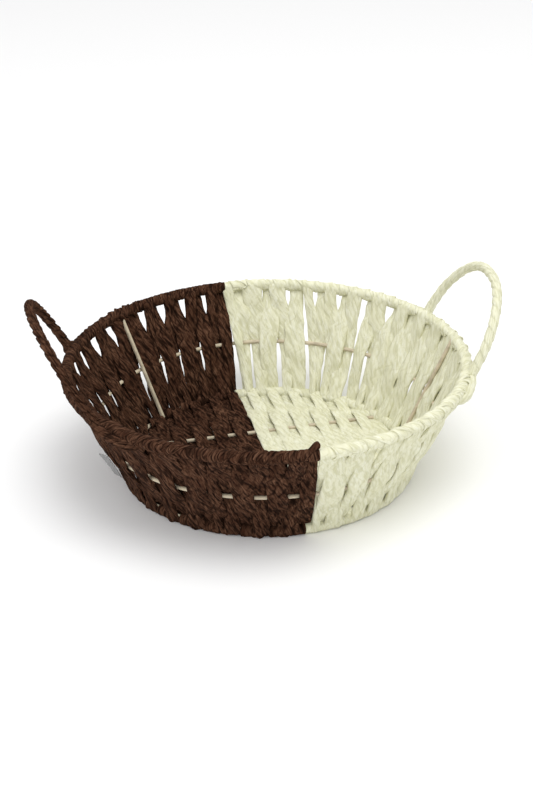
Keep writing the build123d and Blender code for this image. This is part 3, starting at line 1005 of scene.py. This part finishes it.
def strand_bands(rng, settings, half, level):
    """Centre, normal and half sizes of every second base strand of one half.

    A strand runs along Y. Its height swings from under to over between the two base wires and the base
    ring, as half a cosine in each span, and neighbours draw together in pairs at the back.
    """
    side = -1.0 if half == "brown" else 1.0
    first = 0 if (half == "brown") == (level == "lower") else 1
    number = np.arange(first, settings.strands, 2)
    count = len(number)
    outermost = number == settings.strands - 1
    middle = (number + 0.5) * settings.strand_pitch + 1.3 * outermost
    reach = np.sqrt(BASE_RADIUS ** 2 - middle ** 2)
    rows = 90
    share = np.linspace(-1.0, 1.0, rows)[None, :]
    y = reach[:, None] * share
    below = -1.0 if level == "lower" else 1.0
    swing = settings.hook_radius - (0.5 if half == "brown" else 0.9)
    inner = np.clip(np.abs(y) / BASE_WIRE_Y, 0.0, 1.0)
    outer = np.clip((np.abs(y) - BASE_WIRE_Y) / np.maximum(reach[:, None] - BASE_WIRE_Y, 1.0), 0.0, 1.0)
    bow = 0.12 + 0.88 * smooth_step((inner - 0.45) / 0.55)
    crossing = np.cos(math.pi * smooth_step(outer * 1.05))
    z = BASE_HEIGHT + below * swing * np.where(np.abs(y) < BASE_WIRE_Y, bow, crossing)
    z = np.maximum(z, settings.half_thickness + 0.05)
    partner = np.where(number % 2 == 0, 1.0, -1.0)[:, None]
    pull = 1.15 * smooth_step((share - 0.55) / 0.4) - 0.8 * smooth_step((-share - 0.7) / 0.3)
    x = side * (middle[:, None] + partner * pull + 0.35 * wander(rng, count, y + 300.0, 120.0))
    centre = np.stack([x, y, z], -1)
    normal = np.broadcast_to(np.array([0.0, 0.0, 1.0]), centre.shape)
    half_width = 0.5 * (settings.strand_pitch + 1.9) * (1 + 0.06 * wander(rng, count, y + 300.0, 60.0))
    half_width = half_width * (1 - 0.10 * smooth_step((np.abs(share) - 0.75) / 0.25))
    half_width = half_width + 1.4 * outermost[:, None]
    half_thickness = settings.half_thickness * (1 + 0.12 * wander(rng, count, y + 300.0, 50.0))
    along = np.minimum(1 + share, 1 - share) * reach[:, None]
    taper = round_tip(np.clip(along / TIP_LENGTH, 0, 1), 0.02)
    return centre, normal, half_width * (0.5 + 0.5 * taper), half_thickness * taper


def rounded_path(corners, radii, step=0.5):
    """Points along straight runs joined by arcs of the given radii, tangent to both runs at each corner."""
    corners = [np.array(c, float) for c in corners]
    points = [corners[0]]
    for before, corner, after, radius in zip(corners, corners[1:], corners[2:], radii):
        back, ahead = unit(before - corner), unit(after - corner)
        bend = math.acos(float(np.clip(np.dot(back, ahead), -1, 1)))
        reach = radius / math.tan(bend / 2)
        bisector = unit(back + ahead)
        centre = corner + bisector * radius / math.sin(bend / 2)
        start, end = corner + back * reach - centre, corner + ahead * reach - centre
        sweep = math.pi - bend
        share = np.linspace(0, 1, max(3, int(sweep * radius / step)))[:, None]
        swept = start * np.sin((1 - share) * sweep) + end * np.sin(share * sweep)
        points.extend(centre + swept / math.sin(sweep))
    points.append(corners[-1])
    points = np.array(points)
    length = np.concatenate([[0], np.cumsum(np.linalg.norm(np.diff(points, axis=0), axis=-1))])
    even = np.linspace(0, length[-1], int(length[-1] / step))
    return np.stack([np.interp(even, length, points[:, i]) for i in range(2)], -1)


def handle_path(handles, half):
    """The handle's line in millimetres, and the frame of its plane: foot, along, up and outward."""
    half_width = getattr(handles, f"{half}_half_width")
    rise = getattr(handles, f"{half}_rise")
    lean = math.radians(getattr(handles, f"{half}_lean"))
    turn = math.radians(getattr(handles, f"{half}_turn"))
    shoulder, foot_offset = 0.45, 3.1
    outward = np.array([math.cos(turn), math.sin(turn), 0.0])
    along = np.array([-math.sin(turn), math.cos(turn), 0.0])
    foot_radius = math.sqrt(RIM_RADIUS ** 2 - half_width ** 2) + foot_offset
    foot = outward * foot_radius + np.array([0, 0, RIM_HEIGHT])
    up = outward * math.sin(lean) + np.array([0.0, 0.0, math.cos(lean)])
    corners = [
        (-half_width, 0.0), (-half_width, shoulder * rise), (-shoulder * half_width, rise),
        (shoulder * half_width, rise), (half_width, shoulder * rise), (half_width, 0.0),
    ]
    slant = (1 - shoulder) * math.hypot(half_width, rise)
    lower_turn = math.atan2(half_width, rise)
    upper_turn = math.pi / 2 - lower_turn
    lower = 0.9 * min(shoulder * rise, slant / 2) / math.tan(lower_turn / 2)
    upper = 0.98 * min(slant / 2, shoulder * half_width) / math.tan(upper_turn / 2)
    flat = rounded_path(corners, [lower, upper, upper, lower])
    return foot + flat[:, :1] * along + flat[:, 1:] * up, np.cross(along, up)


def wound_tube(rng, centre, facing, radius, lead, starts, depth, columns=36):
    """A wire wrapped in rope: a round tube whose surface laps like a wound ribbon.

    Round the wire and along it, the ribbon's place is the turn times starts plus the length over the lead.
    Each lap rises at its edge and slopes back to the next one, and pleats run along the ribbon.
    """
    centre = centre[None]
    tangent = unit(np.gradient(centre, axis=1))
    normal = square_to(facing, tangent)
    across = np.cross(normal, tangent)
    along = lengths_along(centre)
    share = np.arange(columns) / columns
    place = along[:, :, None]
    drift = 0.10 * wander(rng, 1, along, 40.0)[:, :, None]
    lap = starts * share[None, None, :] + starts * place / lead + starts * drift
    part = lap - np.floor(lap)
    edge = np.minimum(part / 0.16, 1.0)
    ribbon = smooth_step(edge) * (1.0 - 0.8 * part ** 2.0)
    # The crest value is lowest where a lap starts, so painted shade falls along each lap edge.
    crest = 0.2 + 0.8 * np.sqrt(ribbon)
    fine = pleats(rng, 1, share[None, None, :], place, -lead * 1.6, (7, 10))
    wave = lumps(rng, 1, radius[None, :, None] * np.cos(2 * math.pi * share)[None, None, :], place, 16.0)
    size = radius[None, :, None] - depth * (1 - ribbon) - 0.28 * depth * (1 - fine) + 0.12 * wave
    theta = 2 * math.pi * share
    points = (
        centre[:, :, None, :]
        + across[:, :, None, :] * (size * np.cos(theta))[..., None]
        + normal[:, :, None, :] * (size * np.sin(theta))[..., None]
    )
    turn = np.arange(columns + 1) / columns
    uv = np.empty((1, centre.shape[1], columns + 1, 2))
    uv[..., 0] = turn * 2 * math.pi * np.median(radius) * MM
    uv[..., 1] = along[:, :, None] * MM
    return points, uv, crest * (0.7 + 0.3 * fine)


# Where each foot of a handle is lashed to the rim: the way it runs (degrees round the rim), how far it
# stands out from the rim's middle and how high it ends above the rim's middle.
LASHINGS = {
    ("brown", "front"): (15.0, 5.4, -4.6),
    ("brown", "rear"): (-5.0, 5.8, -2.0),
    ("cream", "front"): (-12.0, 4.6, -4.0),
    ("cream", "rear"): (8.0, 3.2, -1.5),
}


def lashing(rng, handles, rope, half, end, foot_point, foot_direction):
    """The thick turn of rope that ties one foot of a handle along the outside of the rim.

    Its line leaves the handle above the rim, bends into the rim's direction and follows the rim, sinking
    to its lower outer side, as a smooth blend of the two straight lines.
    """
    run, reach, drop = LASHINGS[(half, end)]
    foot_angle = math.degrees(math.atan2(foot_point[1], foot_point[0]))
    length = abs(run) / 180 * math.pi * RIM_RADIUS
    whole = length + 12
    rows = max(24, int(whole / 0.6))
    share = np.linspace(0.0, 1.0, rows)
    blend = smooth_step(share * whole / 14.0)
    ahead = np.clip(share * whole - 8.0, 0.0, None) / RIM_RADIUS * 180 / math.pi * np.sign(run)
    turn = np.radians(foot_angle + ahead)
    out = RIM_RADIUS + 3.1 + (reach - 3.1) * smooth_step(share * 3)
    out = out - (reach - 1.0) * smooth_step((share - 0.7) / 0.3)
    z = RIM_HEIGHT + drop * smooth_step(share)
    follow = np.stack([out * np.cos(turn), out * np.sin(turn), z], -1)
    straight = foot_point + foot_direction * (9.0 - share * whole)[:, None]
    centre = straight * (1 - blend[:, None]) + follow * blend[:, None]
    radius = handles.wrap_radius * (0.98 + 0.10 * np.sin(math.pi * share))
    radius = radius * round_tip(np.clip((1 - share) * whole / 7.0, 0.0, 1.0), 0.03)
    facing = np.array([0.0, 0.0, 1.0])
    depth = 0.8 if half == "brown" else 0.5
    return wound_tube(rng, centre, facing, radius, 14.0, 2, depth)


class BASKET_OT_handles(bpy.types.Operator):
    """Wrap the two handles and lash their feet to the rim"""

    bl_idname = "basket.handles"
    bl_label = "Handles"

    def execute(self, context):
        rope, handles = context.scene.basket_rope, context.scene.basket_handles
        for half in ("brown", "cream"):
            rng = np.random.default_rng(rope.seed + HALF_SEED[half] + 90)
            path, facing = handle_path(handles, half)
            count = len(path)
            from_end = np.minimum(np.arange(count), np.arange(count)[::-1]) * 0.5
            radius = np.full(count, handles.wrap_radius) * (1 + 0.10 * np.exp(-from_end / 9.0))
            lead, depth = (15.0, 1.25) if half == "brown" else (17.0, 0.75)
            made = wound_tube(rng, path, facing, radius, lead, 2, depth)
            piece = band_object(f"{half}_handle_wrap", *made)
            finish_piece(piece, rope_material(context, half), f"{half}_rope", f"handle_wrap_{half}")
            # The brown handle's first end is at the back, and the cream one's is in front.
            ends = ("rear", "front") if half == "brown" else ("front", "rear")
            for end, point, beside in zip(ends, (path[0], path[-1]), (path[4], path[-5])):
                direction = unit(beside - point)
                made = lashing(rng, handles, rope, half, end, point, direction)
                tie = band_object(f"{half}_{end}_foot_lashing", *made)
                finish_piece(tie, rope_material(context, half), f"{half}_rope")
        return {"FINISHED"}


class BASKET_OT_rope_end(bpy.types.Operator):
    """Stand the stub of brown rope on the front rim"""

    bl_idname = "basket.rope_end"
    bl_label = "Rope End"

    def execute(self, context):
        rope = context.scene.basket_rope
        rng = np.random.default_rng(rope.seed + 300)
        low, high = (np.array(corner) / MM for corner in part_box("rope_end_brown"))
        share = np.linspace(0.0, 1.0, 26)[:, None]
        foot = np.array([low[0] - 2.5, (low[1] + high[1]) / 2, low[2] - 2.6])
        tip = np.array([high[0] - 3.0, (low[1] + high[1]) / 2 - 0.6, high[2] - 4.4])
        rise = np.array([-0.4, 0.0, 0.8])
        centre = foot * (1 - share) + tip * share + rise * np.sin(math.pi * share)
        half_width = 2.3 + 0.9 * smooth_step((share[:, 0] - 0.35) / 0.5)
        half_thickness = 1.7 + 0.3 * share[:, 0]
        round_off = round_tip(np.clip((1 - share[:, 0]) * 5, 0, 1), 0.05)
        normal = np.broadcast_to(np.array([-0.5, -0.2, 1.0]), centre.shape)
        sizes = (half_width * round_off)[None], (half_thickness * round_off)[None]
        made = rope_bands(rng, centre[None], normal[None], *sizes, rope.brown_pleats, 20.0, columns=28)
        piece = band_object("rope_end", *made)
        finish_piece(piece, rope_material(context, "brown"), "brown_rope", "rope_end_brown")
        return {"FINISHED"}


class BASKET_OT_blank_label(bpy.types.Operator):
    """Lay the blank label against the outside of the brown wall"""

    bl_idname = "basket.blank_label"
    bl_label = "Blank Label"

    def execute(self, context):
        angle, low_slope, length, width = 191.0, 17.0, 22.0, 12.0
        u, v = np.meshgrid(np.linspace(-1, 1, 21), np.linspace(0, 1, 33))
        # A rounded outline: the width draws in at both ends as a circle would.
        corner = 2.0
        from_end = np.minimum(v, 1 - v) * length
        inset = corner - np.sqrt(np.clip(corner ** 2 - np.clip(corner - from_end, 0, corner) ** 2, 0, None))
        across = u * (width / 2 - inset)
        up_slope = low_slope + v * length
        offset = 4.0 + 1.7 * (1 - u) * (0.75 + 0.25 * v) + 0.25 * np.sin(5.0 * v + 2.0 * u)
        offset = offset + 0.12 * np.sin(11 * u - 6 * v)
        radius = BASE_RADIUS + up_slope * SLOPE_SIN
        sheet = wall_point(angle + np.degrees(across / radius), up_slope, offset)
        thick = wall_point(angle + np.degrees(across / radius), up_slope, offset + 0.35)
        rows, columns = u.shape
        index = np.arange(rows * columns).reshape(rows, columns)
        back = np.stack([index[:-1, :-1], index[1:, :-1], index[1:, 1:], index[:-1, 1:]], -1).reshape(-1, 4)
        front = back[:, ::-1] + rows * columns
        border = np.concatenate([index[0, :-1], index[:-1, -1], index[-1, :0:-1], index[:0:-1, 0]])
        ahead = np.roll(border, -1)
        rim = np.stack([border, ahead, ahead + rows * columns, border + rows * columns], -1)
        faces = np.concatenate([back, front, rim])
        vertices = np.concatenate([sheet.reshape(-1, 3), thick.reshape(-1, 3)]) * MM
        piece = mesh_object("blank_label_film", vertices, faces.ravel(), np.arange(len(faces)) * 4)
        finish_piece(piece, label_material(context), "label_film", "blank_label")
        return {"FINISHED"}


def camera_axes(stage):
    """The camera's right, up and back directions from its azimuth, elevation and roll."""
    azimuth, elevation, roll = (math.radians(v) for v in (stage.azimuth, stage.elevation, stage.roll))
    back = Vector((math.sin(azimuth) * math.cos(elevation), -math.cos(azimuth) * math.cos(elevation),
                   math.sin(elevation)))
    level = Vector((math.cos(azimuth), math.sin(azimuth), 0.0))
    upright = back.cross(level)
    right = level * math.cos(roll) + upright * math.sin(roll)
    up = upright * math.cos(roll) - level * math.sin(roll)
    return right, up, back


def area_light(name, power, size, place, target):
    """A large soft light at place that faces target."""
    data = bpy.data.lights.new(name, "AREA")
    data.energy = power
    data.shape = "DISK"
    data.size = size
    lamp = bpy.data.objects.new(name, data)
    lamp.location = place
    lamp.rotation_euler = (Vector(target) - Vector(place)).to_track_quat("-Z", "Y").to_euler()
    bpy.context.scene.collection.objects.link(lamp)


class BASKET_OT_stage(bpy.types.Operator):
    """Set the pale floor, the soft lights and the camera"""

    bl_idname = "basket.stage"
    bl_label = "Stage"

    def execute(self, context):
        stage = context.scene.basket_stage
        scene = context.scene
        side = stage.floor_size / 2
        corners = np.array([(-side, -side, 0), (side, -side, 0), (side, side, 0), (-side, side, 0)], float)
        floor = mesh_object("floor", corners, np.arange(4), np.array([0]))
        paint, _, shader = new_material("floor_paint")
        shader.inputs["Base Color"].default_value = (0.9, 0.9, 0.9, 1.0)
        shader.inputs["Roughness"].default_value = 0.9
        floor.data.materials.append(paint)

        world = bpy.data.worlds.new("studio")
        scene.world = world
        world.use_nodes = True
        background = world.node_tree.nodes["Background"]
        background.inputs["Color"].default_value = (1.0, 1.0, 1.0, 1.0)
        background.inputs["Strength"].default_value = stage.world_strength
        area_light("key", stage.key_power, 1.6, (0.3, -0.5, 2.2), LAMP_TARGET)
        area_light("fill", stage.fill_power, 1.2, (-1.6, -0.9, 1.1), LAMP_TARGET)

        right, up, back = camera_axes(stage)
        data = bpy.data.cameras.new("camera")
        data.lens = stage.lens
        data.sensor_width = 36.0
        data.clip_start, data.clip_end = 0.05, 50.0
        camera = bpy.data.objects.new("camera", data)
        target = Vector(LOOK_AT) + right * LOOK_RIGHT + up * LOOK_UP
        place = target + back * stage.distance
        camera.matrix_world = Matrix(((right.x, up.x, back.x, place.x), (right.y, up.y, back.y, place.y),
                                      (right.z, up.z, back.z, place.z), (0, 0, 0, 1)))
        scene.collection.objects.link(camera)
        scene.camera = camera
        scene.view_settings.view_transform = "Standard"
        return {"FINISHED"}


OPERATORS = (
    BASKET_OT_wire_frame, BASKET_OT_wall_passes, BASKET_OT_ring_turns, BASKET_OT_base_strands,
    BASKET_OT_handles, BASKET_OT_rope_end, BASKET_OT_blank_label, BASKET_OT_stage,
)


class BASKET_PT_panel(bpy.types.Panel):
    """The basket's pieces and settings in the sidebar"""

    bl_idname = "BASKET_PT_panel"
    bl_label = "Paper Rope Basket"
    bl_space_type = "VIEW_3D"
    bl_region_type = "UI"
    bl_category = "Basket"

    def draw(self, context):
        for operator in OPERATORS:
            self.layout.operator(operator.bl_idname)
        for name in ("basket_rope", "basket_handles", "basket_finish", "basket_stage"):
            settings = getattr(context.scene, name)
            box = self.layout.box()
            for key in settings.bl_rna.properties.keys():
                if key not in ("rna_type", "name"):
                    box.prop(settings, key)


SETTINGS = {
    "basket_rope": RopeSettings, "basket_handles": HandleSettings,
    "basket_finish": FinishSettings, "basket_stage": StageSettings,
}


def register():
    for group in SETTINGS.values():
        bpy.utils.register_class(group)
    for name, group in SETTINGS.items():
        setattr(bpy.types.Scene, name, bpy.props.PointerProperty(type=group))
    for operator in OPERATORS:
        bpy.utils.register_class(operator)
    bpy.utils.register_class(BASKET_PT_panel)


def unregister():
    bpy.utils.unregister_class(BASKET_PT_panel)
    for operator in reversed(OPERATORS):
        bpy.utils.unregister_class(operator)
    for name in SETTINGS:
        delattr(bpy.types.Scene, name)
    for group in SETTINGS.values():
        bpy.utils.unregister_class(group)


def main():
    """Builds the pieces in order."""
    register()
    bpy.ops.basket.stage()
    bpy.ops.basket.wire_frame()
    bpy.ops.basket.wall_passes()
    bpy.ops.basket.ring_turns()
    bpy.ops.basket.base_strands()
    bpy.ops.basket.handles()
    bpy.ops.basket.rope_end()
    bpy.ops.basket.blank_label()


if __name__ == "__main__":
    main()
